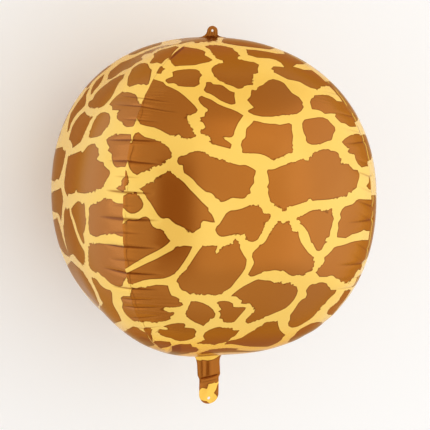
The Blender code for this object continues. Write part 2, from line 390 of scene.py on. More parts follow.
         (195, 322.5), (190, 319.5), (186, 316), (185.3, 313.5), (187.5, 309), (189.5, 304.5)],
        [(216.3, 303), (219, 301.3), (224, 300.8), (229, 301.5), (233, 303.5), (233.5, 307),
         (238, 307.3), (243, 307), (246.8, 307.5), (244, 311), (240, 315.5), (237, 319), (235, 321.5),
         (231, 323), (226, 322.7), (223, 322.5), (222.5, 319), (219, 318.5), (220.5, 315), (220, 312.5),
         (218, 311.5), (221.5, 309.5), (219, 306.5), (218.5, 304.5)],
        [(230.8, 296.3), (233, 294), (238, 290), (244, 286), (250, 283), (255, 280.3), (258.5, 279.3),
         (264, 280.3), (270, 280.5), (273, 282), (276, 283.3), (280, 281.5), (284, 283.3), (290, 283.2),
         (294, 284.5), (297, 287), (298, 291), (296.8, 295), (294, 300), (290, 304.5), (286, 308),
         (281, 310.5), (275, 313), (268, 316), (261, 319), (254, 322), (248, 323.8), (245.5, 322),
         (246, 319.5), (249, 316.5), (253, 313), (254.3, 310), (252.5, 306.5), (250, 303.8), (246, 304),
         (240.5, 303.5), (242.5, 300.5), (239.5, 299.5), (236.5, 296.5)],
        [(306, 290.5), (309, 286), (312, 284), (315, 284.3), (319, 282.5), (323, 282.3), (327, 283.5),
         (328, 286), (330, 287.5), (331, 290), (337, 289.8), (335, 293.5), (331, 297), (327.5, 300.5),
         (325.5, 303.5), (322, 306), (320.5, 309.5), (317, 312.5), (314, 316), (310, 319.5), (306, 322),
         (302, 324.5), (297, 327), (292, 327.8), (288.5, 326), (288.2, 323), (290, 319.5), (290.2, 315),
         (293, 311.5), (296, 307), (298.5, 303), (302, 299.5), (305.5, 298), (307, 294.5)],
        [(315.8, 272.5), (319, 268), (322.5, 264.5), (324.7, 261), (324.2, 257.5), (328, 254.5),
         (331.5, 251), (334, 247.5), (337, 246.3), (342, 245.3), (347, 243.8), (351, 242.2), (356, 241),
         (362, 240), (372, 238.5), (372, 262), (361, 266.5), (357.5, 270), (355, 275), (352, 280),
         (347, 283.3), (344, 282.8), (340.5, 281.5), (338.8, 279), (336, 278.5), (333.5, 276),
         (331, 275.5), (327, 277), (319.5, 277)],
        [(345.3, 289.8), (350, 288.3), (358, 287), (356, 300), (340, 318), (328.5, 317), (326.8, 313.5),
         (329, 309), (334, 305), (339, 300.5), (341, 296)],
        [(286.5, 342.5), (290.5, 338.5), (294.5, 335.5), (297, 332), (301, 328.7), (306, 326),
         (311, 323.5), (317, 322), (322, 322), (318, 330), (300, 343), (288, 346)],
        [(196, 343.2), (200, 342), (204.5, 339.7), (203, 336), (205, 332.5), (209, 330), (214, 328),
         (219, 327.3), (226, 328.2), (232.5, 328), (233.5, 330.5), (239.7, 330.2), (237.5, 333),
         (235, 336), (231, 338), (229.5, 340), (226, 342), (219, 343.6), (214, 345.4), (210, 344.2),
         (203, 344)],
        [(224.5, 344.7), (227, 341.5), (231, 340.3), (236, 339.5), (242, 337.5), (248, 333.5),
         (253, 330.7), (258, 328), (263, 324), (267, 322), (273, 321), (276, 321.8), (277.7, 320.5),
         (278.3, 325), (280, 330), (283, 333), (285.7, 335), (283, 337.3), (281.5, 340), (278, 342.5),
         (273, 345), (268, 346.7), (260, 346.9), (251, 346.7), (244, 346), (237, 344.8), (231, 344)],
        [(163, 326.5), (167, 325), (172, 323.8), (178, 323), (184, 323.3), (185.5, 325), (184.5, 327.5),
         (190, 328), (194, 328.5), (196.5, 331.5), (195, 334.5), (195.5, 336.5), (192, 339),
         (186, 340.7), (180, 341.2), (175, 340.2), (171, 338.2), (166, 337.3), (160, 335), (159, 332.5),
         (155.8, 332), (158.5, 330), (161, 329), (165, 329.8), (168, 329.5), (167, 327.8)],
        [(152, 343), (155, 341), (160, 340.8), (166, 341.5), (170, 341.8), (171.5, 345), (170, 346.3),
         (166.5, 347.5), (162, 348), (157, 347.5), (150, 346)],
        [(171.5, 346.5), (176, 345), (180, 343.9), (186, 344.2), (190.8, 343.8), (192, 346),
         (196, 347.5), (198.8, 349.5), (196.5, 351.8), (190, 353), (182, 354.5), (176, 358), (164, 356),
         (167, 352), (172, 351)],
        [(200, 353.5), (206, 350.8), (214, 349), (222, 348.2), (230, 348), (239, 348.6), (236, 350),
         (250, 351), (262, 350.5), (262, 352.6), (240, 352.4), (222, 352.6), (210, 353.4), (203, 354)],
        [(136, 328), (141, 331.5), (144, 327.5), (150.5, 327.8), (151.8, 330), (151, 334), (152.3, 338),
         (153, 342), (148, 343), (138, 332)],
        seamPatch,
    ],
    "left_panel": [
        [(107, 80), (108, 75.5), (110, 71.5), (115, 67.3), (121, 62.7), (128, 60), (135, 57), (141, 54),
         (148, 51.8), (156, 49.5), (152, 52.7), (146, 54), (143.5, 55.2), (141, 57.5), (142.7, 59),
         (140, 61), (136, 63), (131, 67), (127, 69), (122, 71), (117, 75), (112, 78.5)],
        [(149.5, 63.3), (151, 60.5), (154, 56.8), (153.5, 54), (158, 51), (164, 49), (170, 47.5),
         (175, 46), (179, 47), (170, 57.5), (166, 59), (163.5, 61.5), (161.5, 64), (157, 62.5),
         (153, 63.5)],
        seamPatch,
        [(128, 77), (130.5, 72), (132, 69), (135.5, 66), (140, 63.5), (145, 62.8), (148, 64),
         (149.5, 68), (151.5, 70), (150.8, 76), (150, 80), (148.5, 84), (146, 85.5), (143.5, 84),
         (141, 85), (138, 84), (134, 85.5), (129, 87), (127, 85), (127.5, 81)],
        [(88, 103), (89.5, 101), (92.5, 99.5), (94.5, 95), (97, 92), (101, 88), (105, 85), (110, 81),
         (114, 78.5), (119, 76), (124.5, 73.8), (123, 78.5), (119, 82.5), (116, 88), (113.5, 93.5),
         (110.5, 98.5), (107, 102.5), (103.5, 106), (99.5, 108), (94, 107.8), (90, 108), (88, 106)],
        [(109, 104.5), (112, 100.5), (116, 96.5), (120, 93.3), (122.3, 91.3), (124, 92.3), (128, 92),
         (132, 93), (135.5, 95), (137.5, 99), (139.5, 103.5), (146, 103.5), (143, 119), (136.3, 119.5),
         (135.3, 123.5), (133.3, 126.3), (130, 127), (126, 127), (123, 124.5), (121, 121.5),
         (118, 120.5), (116.5, 117), (117, 113), (120, 110.5), (116, 110.2), (112, 110), (112, 106.5)],
        [(88.5, 137.5), (89.5, 133), (91.5, 127), (93.5, 121.5), (97, 116), (100.5, 112.8), (105, 112),
         (109, 113.5), (110.3, 117.5), (109.5, 123), (107, 127.5), (103.5, 131), (101.5, 135),
         (97, 137), (91, 138)],
        [(68.5, 139), (70, 134), (72, 127), (75, 121.5), (79.5, 115.5), (84.5, 111.3), (86.5, 114.5),
         (89, 116.5), (92.5, 117), (90, 121.5), (87, 127.5), (84.5, 133.5), (82, 139), (80, 142.5),
         (76, 145.5), (72.3, 148.3), (72, 144.5), (70.5, 141)],
        [(70.8, 123.5), (73.5, 118.5), (77, 113.5), (81, 109.5), (84.8, 105.5), (86, 100.5), (86, 95.5),
         (88, 91), (90, 87.3), (86, 90.5), (82, 97), (78, 102), (74, 108), (70.5, 114), (68.5, 122),
         (67, 133), (69, 130)],
        [(90.3, 95), (91, 90), (93, 85.5), (96, 81), (100, 77.3), (104.3, 73.8), (103, 78), (101, 82),
         (98, 86.5), (94.5, 90), (92, 94)],
        [(88, 88), (94, 80), (100, 74.5), (107, 69), (114, 63.5), (108, 62), (98, 69), (88, 80)],
        [(68, 156.8), (72, 154.5), (77, 152.5), (81, 150.7), (82, 153), (84.5, 150), (87.5, 146),
         (91, 144), (95, 143.5), (96, 146.5), (98.5, 148.5), (98.3, 152), (99.2, 155), (96.5, 159),
         (99.5, 161.3), (103.5, 162.2), (104, 165.5), (106.5, 168), (109.5, 170.5), (110, 173.5),
         (108.5, 177), (106.5, 179.5), (105, 184), (102.8, 187.5), (99, 189), (96, 190.7), (92, 193),
         (85, 193.7), (79.5, 193), (77.3, 192.5), (75.8, 189.8), (74.8, 193), (71, 194.3),
         (68.3, 193.7), (67.5, 197), (65.5, 193), (64.2, 188), (64, 182), (65, 175), (66, 167),
         (67, 161)],
        [(106, 139.7), (109, 137), (114, 134.5), (120, 133.7), (126, 134), (131.3, 134.3),
         (131.8, 141.3), (138, 141), (134, 161), (127.5, 162), (126, 167), (121, 166.8), (117, 167.8),
         (114.5, 166), (112.3, 162.5), (111.5, 159), (111.8, 154), (107.5, 150.5), (109.5, 147.3),
         (107.3, 144)],
        [(126, 169), (129, 180), (128, 190), (124, 192.5), (121, 191.5), (118, 190), (115.5, 188),
         (119, 185.5), (122, 184.5), (121.5, 181), (123, 178), (125, 176.5)],
        [(55, 147.5), (62.5, 146.8), (63, 150), (65.5, 150.5), (65.3, 155.5), (64, 161), (62.5, 168),
         (60.5, 174.5), (58.7, 179.8), (56.7, 178.8), (54.5, 181.5), (50, 178), (50, 166), (53, 154)],
        [(54, 191), (58, 189.5), (60.7, 187.5), (61.7, 191.5), (62.8, 197), (63, 202), (62, 208),
         (61.8, 214), (61, 222), (59.5, 217), (58, 213), (55, 212.5), (50, 210), (49, 199), (51, 193)],
        [(63.8, 214), (64.3, 209.5), (65.7, 207.8), (67.5, 209.7), (69.2, 208), (70, 215), (72, 221),
         (74, 228), (76.5, 235.5), (79.5, 243), (82, 247.5), (84.3, 251.5), (85, 257), (84.8, 262.5),
         (83, 266), (80.5, 263), (77.5, 260), (74.8, 256.3), (73, 254.3), (70.5, 255), (69.8, 257),
         (68, 252.5), (66, 245.5), (64.3, 237.5), (63.2, 230), (63.7, 221)],
        [(71, 209), (73, 206), (75.5, 203), (78, 201), (80.5, 202), (82, 204.5), (84, 202.5),
         (84.8, 206), (85.3, 213), (86, 219), (85.3, 226), (84.5, 231), (83, 234), (84, 238),
         (84.5, 243), (83.5, 244.5), (81, 240), (79, 235), (77, 230), (75.5, 224), (73.5, 218),
         (71.5, 213)],
        [(88.5, 208.5), (91, 204.5), (95, 203), (99, 202), (103, 199.5), (106, 197.5), (109.3, 199.7),
         (112, 199), (114, 202), (118, 203.3), (128, 203.5), (128, 236.5), (120.5, 236.5), (118, 235),
         (115.5, 233.8), (112, 234.7), (105, 234.5), (100, 235), (98, 236.8), (93, 236), (89.8, 234),
         (88.5, 229), (88.3, 222), (89, 215)],
        [(87.8, 248.8), (89.3, 243.5), (96, 243), (102, 243.5), (108, 244.4), (114, 245.4),
         (120, 246.2), (131, 247.5), (131, 277), (125, 279), (122.5, 286), (119.5, 287), (115, 286),
         (110.5, 283.5), (107, 280.3), (104.5, 277.5), (101.5, 276), (99, 273), (97, 272.3),
         (95, 272.8), (92.5, 271), (90, 268), (88.5, 263.5), (88, 257), (88.5, 251.5)],
        [(91, 278), (94, 277.5), (97, 280), (100, 284.5), (103.5, 287.5), (106, 289), (110.5, 290.3),
         (112, 293), (112.3, 298), (112.5, 302), (113.5, 305), (115, 308), (117.5, 312), (119.5, 316),
         (121.5, 321), (122, 324.5), (119, 323), (115, 319.5), (111, 314.5), (107, 309.5), (103, 303.5),
         (100, 298.5), (98, 293), (95.5, 288), (93, 282.5)],
        [(120.3, 298), (123, 296), (134, 296), (142, 322), (133.5, 321.5), (130, 319), (127, 316),
         (124, 312), (122, 307.5), (122.7, 303)],
        [(129.8, 328.3), (133, 326.3), (137, 327.5), (146, 333), (155, 345), (150, 345), (145, 341.5),
         (140, 337.5), (135, 333)],
        [(71, 260.5), (74.5, 264), (79, 268), (83, 272), (87, 278), (91, 285), (94.5, 292), (97, 298.5),
         (99.5, 305), (94, 308), (84, 296), (74, 282), (68, 268)],
        [(57.3, 218), (59, 224), (61, 231.5), (63, 238.5), (65, 245), (67.5, 251.5), (69.7, 257.5),
         (64, 254), (59, 247), (55, 238), (53, 229), (53, 221)],
    ],
}

# Bands of brown film round the tab, where the panels are too narrow to be told apart. They are
# drawn straight through from the photographer's side.
tabOutlines = [
    [(168, 30), (217.3, 30), (217, 41.3), (205, 42.2), (195, 43.3), (194.4, 41.6), (188, 42.2),
     (182, 43.6), (178, 43.9), (181.6, 41.9), (181, 40.2), (176, 39.4)],
    [(221.3, 42.3), (223.6, 38.6), (224, 30), (250, 33), (276, 43), (273.5, 48.6), (270, 49.5),
     (260.4, 48.3), (248.9, 47), (237.4, 45.6), (227.6, 43.9)],
    [(283.4, 51.6), (284, 46), (298, 48), (311, 60), (304.5, 63.8), (297.7, 59.5), (288.8, 56),
     (285.2, 55)],
    [(129.5, 55.2), (122, 50), (145, 38), (161, 34), (161.8, 43.6), (160, 45.2), (155.9, 46.2),
     (145.7, 49.7), (140.6, 51.7), (135, 54.2)],
    [(143, 53.5), (145.7, 51.6), (155.9, 48), (162, 46), (172, 44.8), (180, 43.6), (188, 42),
     (181, 44.1), (176.3, 44.5), (171.2, 45.4), (161, 48.2), (155.9, 49.6), (151, 52), (147, 53.8)],
]

# The right panel shows only as a sliver past its weld, so a patch there is given by where its
# two ends meet the weld
weldPatches = {
    "ends": [((214, 39), (273, 50)), ((285, 56), (303.5, 63.5)), ((326.5, 80), (355, 122)),
             ((362, 134), (371, 161)), ((373.5, 195), (365.5, 263)), ((358.5, 277), (352.5, 288))],
    "under": 0.008,           # how far it passes under the weld
    "reach": 0.052,           # and how far it goes round the ball
    "fullness": 0.6,          # power on its rounding: under 1 is fuller than an ellipse
    "points": 15,
    "weldPoints": 871,        # along the weld, where the ends are looked for
    "weldEnd": 87,            # degrees of latitude
}

tailOutlines = [
    [(194, 359.5), (199, 359.7), (201.5, 358.5), (206, 359.3), (212, 357.8), (217, 355.5), (224, 352),
     (226, 362), (222, 374), (219.3, 381.5), (215, 382.5), (208.5, 384), (206.8, 388.8), (202, 388),
     (200.8, 389), (198.5, 391), (197, 370)],
    [(219.5, 383), (217.5, 385), (216, 389.5), (213.8, 393), (216.2, 395.2), (218, 398), (221, 398),
     (221, 384)],
    [(200, 399.7), (203.5, 400.5), (206.5, 401), (209, 403.2), (213.5, 404), (209, 407), (200, 405)],
]

prints = {
    "edge": 0.00035,          # half the width over which one ink gives way to the other
    "frays": (0.5, 0.6),      # where in the noise the frayed stretches begin
    "rim": 0.0016,            # width of a patch's darker rim
    "channel": 0.0085,        # kept clear round the patches that show, where others fill the rest
    "shownChannel": 0.022,    # the same where the camera sees the film
    "shownFacing": (0.0, 0.12),
    "nothing": -0.02,         # depth that stands for no patch near
    "ragged": 0.0075,         # how far an edge frays, in the stretches where it does
    "raggedScale": 260.0,
    "raggedStretch": 22.0,
    "tabEnd": math.radians(50),        # the outlines round the tab count from here on
    "faceAway": 0.04,                  # and up to where the film turns away this far
    "facingDepth": 0.20,
    "spare": {                # how the top panel's patches are turned to fill what doesn't show
        "top_panel": (-1, -1),
        "right_panel": (1, -1),
        "under_panel": (-1, -1),
        "left_panel": (-1, 1),
    },
}


# How deep each point lies inside an outline, in the outline's own unit. Outside it is below zero.
def depthInside(points, outline):
    depth = np.full(len(points), prints["nothing"])
    low = outline.min(0) + prints["nothing"]
    high = outline.max(0) - prints["nothing"]
    near = np.flatnonzero(((points > low) & (points < high)).all(1))
    if len(near) == 0:
        return depth
    x, y = points[near].T
    nearest = np.full(len(near), np.inf)
    inside = np.zeros(len(near), bool)
    for (x0, y0), (x1, y1) in zip(outline, np.roll(outline, -1, 0)):
        dx, dy = x1 - x0, y1 - y0
        along = np.clip(((x - x0) * dx + (y - y0) * dy) / (dx * dx + dy * dy + tiny), 0, 1)
        nearest = np.minimum(nearest, np.hypot(x - x0 - along * dx, y - y0 - along * dy))
        crosses = (y0 > y) != (y1 > y)
        inside ^= crosses & (x < x0 + (y - y0) * dx / (dy if dy else tiny))
    depth[near] = np.where(inside, nearest, -nearest)
    return np.maximum(depth, prints["nothing"])


# The same inside whichever outline each point lies deepest in
def depthInsideAny(points, outlines):
    depth = np.full(len(points), prints["nothing"])
    for outline in outlines:
        depth = np.maximum(depth, depthInside(points, outline))
    return depth


panelNames = ["top_panel", "right_panel", "under_panel", "left_panel"]


def layWeldPatches():
    end = weldPatches["weldEnd"]
    latitude = np.radians(np.linspace(-end, end, weldPatches["weldPoints"]))
    weld = toPixels(ballPoint(np.full_like(latitude, quarter / 2), latitude))
    bend = np.linspace(-quarter, quarter, weldPatches["points"])
    laid = []
    for ends in weldPatches["ends"]:
        first, last = (latitude[np.hypot(*(weld - place).T).argmin()] for place in ends)
        along = (first + last) / 2 + (first - last) / 2 * np.sin(bend)
        across = weldPatches["reach"] * np.cos(bend) ** weldPatches["fullness"] - weldPatches["under"]
        across = across - meanRadius * reachAt(along) * quarter / 2
        laid.append(np.stack([across, meanRadius * along], -1))
    return laid


def layOutlines():
    sheets = {"right_panel": layWeldPatches(), "under_panel": []}
    for name, outlines in patchOutlines.items():
        middle = panelNames.index(name) * quarter
        sheets[name] = [toSheet(*toBall(outline), middle) for outline in outlines]
    return sheets


sheets = layOutlines()
print("patches laid out:", sum(len(sheet) for sheet in sheets.values()))


# How deep the film at each point lies inside a patch: one that the photograph shows, or else one
# of the top panel's, turned to fill the rest
def patchDepth(name, points, facing, places):
    facingDepth = (facing - prints["faceAway"]) * prints["facingDepth"]
    atTab = depthInsideAny(toPixels(places) * pixel, [np.array(outline) * pixel for outline in tabOutlines])
    drawnThrough = points[:, 1] > meanRadius * prints["tabEnd"]
    atTab = np.where(drawnThrough, np.minimum(atTab, facingDepth), prints["nothing"])
    shown = np.maximum(atTab, depthInsideAny(points, sheets[name]))
    spare = depthInsideAny(points, [outline * prints["spare"][name] for outline in sheets["top_panel"]])
    visible = smoothStep(*prints["shownFacing"], facing)
    channel = prints["channel"] + (prints["shownChannel"] - prints["channel"]) * visible
    return np.maximum(shown, np.minimum(spare, -shown - channel))


# Relief of the film. Where it is slack at a weld it folds crosswise into sharp creases.
# Each crease has its left end, its place on the weld, its right end if that shows, and its depth.

seamCreases = {
    -45: [
        ((119, 95.5), (144, 98.5), (176, 103), 0.6),
        ((112, 104), (141, 106.5), (185, 114), 0.7),
        ((120, 119), (136.5, 120), (168, 123), 0.5),
        ((105, 140), (131, 140.2), (162, 141.5), 1.0),
        ((107, 160.5), (128, 161.5), (167, 165), 1.0),
        ((112, 176), (126.2, 177), (142, 178), 0.4),
        ((104, 190), (124.8, 192.4), (154, 193.7), 1.0),
        ((109, 205), (124, 206), (140, 206), 0.35),
        ((97, 216), (123.4, 219.3), (162, 220.5), 1.0),
        ((103, 232), (124, 233), (145, 234), 0.5),
        ((103, 243.5), (124.8, 247), (160, 248.5), 1.0),
        ((108, 259), (125.2, 260.5), (146, 262), 0.5),
        ((101, 267), (126, 273.4), (164, 274.8), 1.0),
        ((111, 286), (127.3, 288.3), (162, 290), 0.9),
        ((118, 298), (129.3, 299.3), (160, 299.5), 0.6),
        ((122, 306), (131, 307), (170, 306.5), 0.7),
        ((126, 317), (134.5, 317.5), (164, 315), 0.5),
        ((132, 327), (139.5, 328), (166, 325), 0.5),
    ],
    45: [
        ((318, 90), (333, 90), 0.3),
        ((333, 112), (347.2, 110.5), 0.5),
        ((338, 127), (354.5, 125), 0.3),
        ((342, 144), (361.2, 142.5), 0.6),
        ((346, 156), (365.5, 155.3), 0.3),
        ((348, 168.8), (369, 167.3), 0.5),
        ((352, 184), (371.5, 182.5), 0.3),
        ((350, 198.7), (372.5, 196.5), 0.5),
        ((355, 211), (372, 209.5), 0.3),
        ((343, 223), (370, 220), 0.6),
        ((352, 240.5), (368.5, 239), 0.4),
        ((350, 253), (366.5, 252), 0.3),
        ((335, 265.5), (360.8, 264), 0.6),
        ((336, 281), (353, 279), 0.3),
        ((328, 290), (347, 289), 0.4),
    ],
}

# Film folded under near the ends, drawn straight through as round the tab, and how deep it is, with painted
# shade over it
endFolds = [
    ([(183.8, 45.8), (184.3, 48.5), (176.5, 54.8), (171, 59.8), (169.6, 58.4), (175.5, 52.2)], 1.0),
    ([(205, 41), (208, 36), (217, 35.5), (217.3, 40), (213, 41.4)], 0.7),
    ([(170, 346), (176, 344.2), (181, 345), (181.5, 350), (178, 357), (166, 356), (168, 350)], 0.6),
    ([(141, 336), (150, 339), (156, 346), (165, 349), (165, 353), (150, 349), (138, 338)], 0.5),
]

film = {
    "seed": 11,
    "creaseDepth": 0.0024,
    "creaseWidth": 0.0018,
    "creaseNear": 0.04,       # a crease isn't felt past this
    "lip": 0.20,              # height of the film beside a crease, as a share of its depth
    "lipAt": 0.0050,
    "lipWidth": 0.0034,
    "grooveWidth": 0.6,       # of a crease's shade, as a share of its own width
    "roundReach": 0.016,      # of a crease that runs on past the ball's outline
    "hiddenCreases": 17,      # along a weld that doesn't show
    "hiddenEnd": math.radians(66),
    "hiddenJitter": 0.3,
    "hiddenReach": (0.016, 0.040),
    "hiddenTilt": 0.12,
    "hiddenDepth": (0.4, 1.0),
    "rippleBend": 1.6,        # how fast the ripples bend downwards from the middle of their bundle
    "rippleDepth": 0.0006,
    "rippleWobble": 0.0004,
    "rippleWobbleRate": (210, 90),
    "rippleFanLimit": 0.5,
    "ridge": 0.0008,          # how far the weld stands out between the panels
    "ridgeReach": 0.0075,
    "weldWidth": 0.0038,
    "weldWobble": 0.0009,     # how far the weld's edge strays from that
    "weldWobbleRates": (29, 61),
    "weldWobbleFrom": 0.003,
    "weldStep": 0.00018,
    "weldStepEdge": 0.0004,
    "weldStepFrom": 0.002,
    "weldPlain": (math.radians(34), math.radians(44)),     # where the left weld's painted dark line ends
    "goldAt": 0.0076,         # from the right weld to its painted golden glint
    "goldLine": 0.0030,       # and from there back to its painted dark line
    "gathers": 36,            # folds round each end
    "gatherDepth": 0.0016,
    "gatherFrom": math.radians(66),
    "gatherSway": 1.7,
    "gatherSwayRate": 3,
    "slack": 0.0007,          # of long soft waves
    "slackRates": (62, 23),   # across the panel, and of their sway along it
    "slackSway": 2.1,
    "slackWidth": 0.55,
    "slackFrom": (0.4, 1.3),  # latitudes
    "slackRest": 0.3,         # how far the waves lie lower on the whole, as a share of their height
    # Painted shade towards the ends: latitudes over which it comes in at the tail and at the tab, and how
    # much of it at the tab
    "tailEndShade": (math.radians(36), math.radians(57)),
    "tabEndShade": (math.radians(28), math.radians(50)),
    "tabEndShading": 0.4,
    "endFold": 0.0006,        # depth of the film folded under near the ends
    "endFoldEdge": 0.0008,
    "endFoldShade": 0.6,
    "pucker": 0.0016,         # depth of the even puckers along a weld, towards the ends
    "puckers": 20,            # from end to end
    "puckerReach": 0.020,
    "puckerFrom": (math.radians(22), math.radians(48)),
}

# Bundles of fine ripples: middle, half length and half height in pixels, pitch in metres, tilt
# down to the right, how fast they fan out to the right, and strength
ripples = [
    ((156, 110), (26, 22), 0.0041, 0.13, 4.0, 1.0),
    ((122, 103), (15, 10), 0.0046, 0.02, -5.0, 0.9),
    ((150, 303), (27, 16), 0.0054, 0.00, 2.0, 0.8),
    ((136, 322), (10, 17), 0.0058, 0.80, 0.0, 0.8),
    ((141, 262), (14, 9), 0.0060, 0.10, 0.0, 0.35),
    ((352, 232), (12, 14), 0.0058, -0.05, 0.0, 0.5),
    ((350, 158), (12, 12), 0.0056, -0.06, 0.0, 0.5),
    ((322, 98), (14, 8), 0.0056, 0.30, 0.0, 0.5),
]


def layCreases():
    laid = {}
    random = np.random.default_rng(film["seed"])
    for degrees in (-135, -45, 45, 135):
        middle = math.radians(degrees)
        laid[degrees] = []
        for *ends, depth in seamCreases.get(degrees, []):
            line = toSheet(*toBall(ends), middle)
            line[1, 0] = 0
            if len(line) == 2:
                line = np.vstack([line, (film["roundReach"], line[1, 1])])
            laid[degrees].append((line, depth))
        if laid[degrees]:
            continue
        for number in range(film["hiddenCreases"]):
            jitter = random.uniform(-film["hiddenJitter"], film["hiddenJitter"])
            share = (number + 0.5 + jitter) / film["hiddenCreases"]
            height = meanRadius * film["hiddenEnd"] * (2 * share - 1)
            left, right = random.uniform(*film["hiddenReach"], 2)
            tilt = random.uniform(-film["hiddenTilt"], film["hiddenTilt"])
            line = np.array([(-left, height - tilt * left), (0, height), (right, height + tilt * right)])
            laid[degrees].append((line, random.uniform(*film["hiddenDepth"])))
    return laid


creases = layCreases()


# How far the creases of one weld lie below the film, and how much painted shade their grooves get, 0 to 1
def creaseLift(points, lines):
    lift = np.zeros(len(points))
    paintedShade = np.zeros(len(points))
    for line, depth in lines:
        low, high = line[0, 0], line[2, 0]
        within = (points[:, 0] > low) & (points[:, 0] < high)
        near = np.flatnonzero(within & (abs(points[:, 1] - line[1, 1]) < film["creaseNear"]))
        across, along = points[near].T
        away = along - np.interp(across, line[:, 0], line[:, 1])
        end = np.where(across < 0, low, high)
        fade = (1 - (across / end) ** 2) * depth
        cut = np.exp(-np.abs(away) / film["creaseWidth"])
        lip = bell(np.abs(away) - film["lipAt"], film["lipWidth"]) * film["lip"]
        lift[near] += film["creaseDepth"] * fade * (lip - cut)
        shade = fade * bell(away, film["creaseWidth"] * film["grooveWidth"])
        paintedShade[near] = np.maximum(paintedShade[near], shade)
    return lift, paintedShade


# Phase of the ripples of the bundle that is strongest at each point, and how strong it is
def rippleWave(number, points):
    phase = np.zeros(len(points))
    strength = np.zeros(len(points))
    acrossRate, alongRate = film["rippleWobbleRate"]
    for middle, reach, pitch, tilt, fan, height in ripples:
        turn, latitude = toBall([middle])
        if abs(turn[0] - (number * quarter + math.pi) % (2 * math.pi) + math.pi) > quarter / 2:
            continue
        across, along = (points - toSheet(turn, latitude, number * quarter)).T
        away = (across / (reach[0] * pixel)) ** 2 + (along / (reach[1] * pixel)) ** 2
        fade = height * bell(away, 1)
        bent = along + tilt * across + film["rippleBend"] * across ** 2
        bent = bent / np.maximum(1 + fan * across, film["rippleFanLimit"])
        bent = bent + film["rippleWobble"] * np.sin(across * acrossRate + along * alongRate)
        stronger = fade > strength
        phase = np.where(stronger, bent * math.pi / pitch, phase)
        strength = np.maximum(strength, fade)
    return phase, strength


# How far each point is from the weld at its panel's left edge, with the weld's own waver. Near the
# top of the left weld it counts as further, so that the weld's painted dark line and its step end there.
def distanceFromWeld(number, latitude, across):
    distance = meanRadius * reachAt(latitude) * (across + 1) * quarter / 2
    first, second = film["weldWobbleRates"]
    wobble = (np.sin(latitude * first + number) + np.sin(latitude * second + 2 * number)) / 2
    distance = distance + film["weldWobble"] * wobble * smoothStep(0, film["weldWobbleFrom"], distance)
    atLeftWeld = (number == 0) & (across < 0) | (number == 3) & (across > 0)
    return distance + film["weldWidth"] * atLeftWeld * smoothStep(*film["weldPlain"], latitude)


# Gathers round both ends, and the long soft waves of slack film
def softLift(number, turn, latitude, across, points):
    atEnd = smoothStep(film["gatherFrom"], quarter, np.abs(latitude))
    sway = film["gatherSway"] * np.sin(film["gatherSwayRate"] * turn)
    wave = np.sin(film["gathers"] * turn + sway + np.sign(latitude))
    lift = film["gatherDepth"] * atEnd * (wave - 1) / 2
    waveRate, swayRate = film["slackRates"]
    sway = film["slackSway"] * np.sin(points[:, 1] * swayRate + number)
    slack = np.sin(points[:, 0] * waveRate + sway) * bell(across, film["slackWidth"])
    slack = slack * smoothStep(*film["slackFrom"], np.abs(latitude))
    return lift + film["slack"] * (slack - film["slackRest"])


def filmLift(number, turn, latitude, across):
    points = toSheet(turn, latitude, number * quarter)
    phase, strength = rippleWave(number, points)
    lift = -film["rippleDepth"] * strength * (1 - np.abs(np.sin(phase)))
    paintedShade = np.zeros(len(points))
    for side in (-1, 1):
        degrees = (number * 90 + side * 45 + 180) % 360 - 180
        fromSeam = toSheet(turn, latitude, math.radians(degrees))
        fold, sharp = creaseLift(fromSeam, creases[degrees])
        lift += fold
        paintedShade = np.maximum(paintedShade, sharp)
        lift += film["ridge"] * np.exp(-np.abs(fromSeam[:, 0]) / film["ridgeReach"]) * np.cos(latitude)
        pucker = 1 - np.abs(np.sin(film["puckers"] * latitude))
        pucker = pucker * bell(fromSeam[:, 0], film["puckerReach"])
        lift -= film["pucker"] * pucker * smoothStep(*film["puckerFrom"], np.abs(latitude))
    fromWeld = distanceFromWeld(number, latitude, across)
    onWeld = smoothStep(-film["weldStepEdge"], film["weldStepEdge"], film["weldWidth"] - fromWeld)
    lift += film["weldStep"] * onWeld * smoothStep(0, film["weldStepFrom"], fromWeld)
    seen = toPixels(ballPoint(turn, latitude)) * pixel
    near = facingCamera(turn, latitude) > 0
    for outline, depth in endFolds:
        inside = smoothStep(0, film["endFoldEdge"], depthInside(seen, np.array(outline) * pixel))
        inside = near * inside * depth
        lift -= film["endFold"] * inside
        # painted shade over the film folded under
        paintedShade = np.maximum(paintedShade, inside * film["endFoldShade"])
    lift += softLift(number, turn, latitude, across, points)
    return lift, {"paintedShade": paintedShade, "fromWeld": fromWeld, "ripplePhase": phase, "rippleStrength": strength}


# Shader maths

class Wire:
    def __init__(self, tree, socket):
        self.tree = tree
        self.socket = socket

    def math(self, operation, *values):
        sockets = dict(enumerate(values))
        return self.tree.make("ShaderNodeMath", {"operation": operation}, sockets)

    def __add__(self, other):
        return self.math("ADD", self, other)

    def __radd__(self, other):
        return self.math("ADD", other, self)

    def __sub__(self, other):
        return self.math("SUBTRACT", self, other)

    def __rsub__(self, other):
        return self.math("SUBTRACT", other, self)

    def __mul__(self, other):
        return self.math("MULTIPLY", self, other)

    def __rmul__(self, other):
        return self.math("MULTIPLY", other, self)

    def __abs__(self):
        return self.math("ABSOLUTE", self)

    def orMore(self, other):           # the greater of the two
        return self.math("MAXIMUM", self, other)

    def ramp(self, low, high):         # 0 at low, 1 at high, eased
        sockets = {"Value": self, "From Min": low, "From Max": high}
        settings = {"interpolation_type": "SMOOTHSTEP"}
        return self.tree.make("ShaderNodeMapRange", settings, sockets)


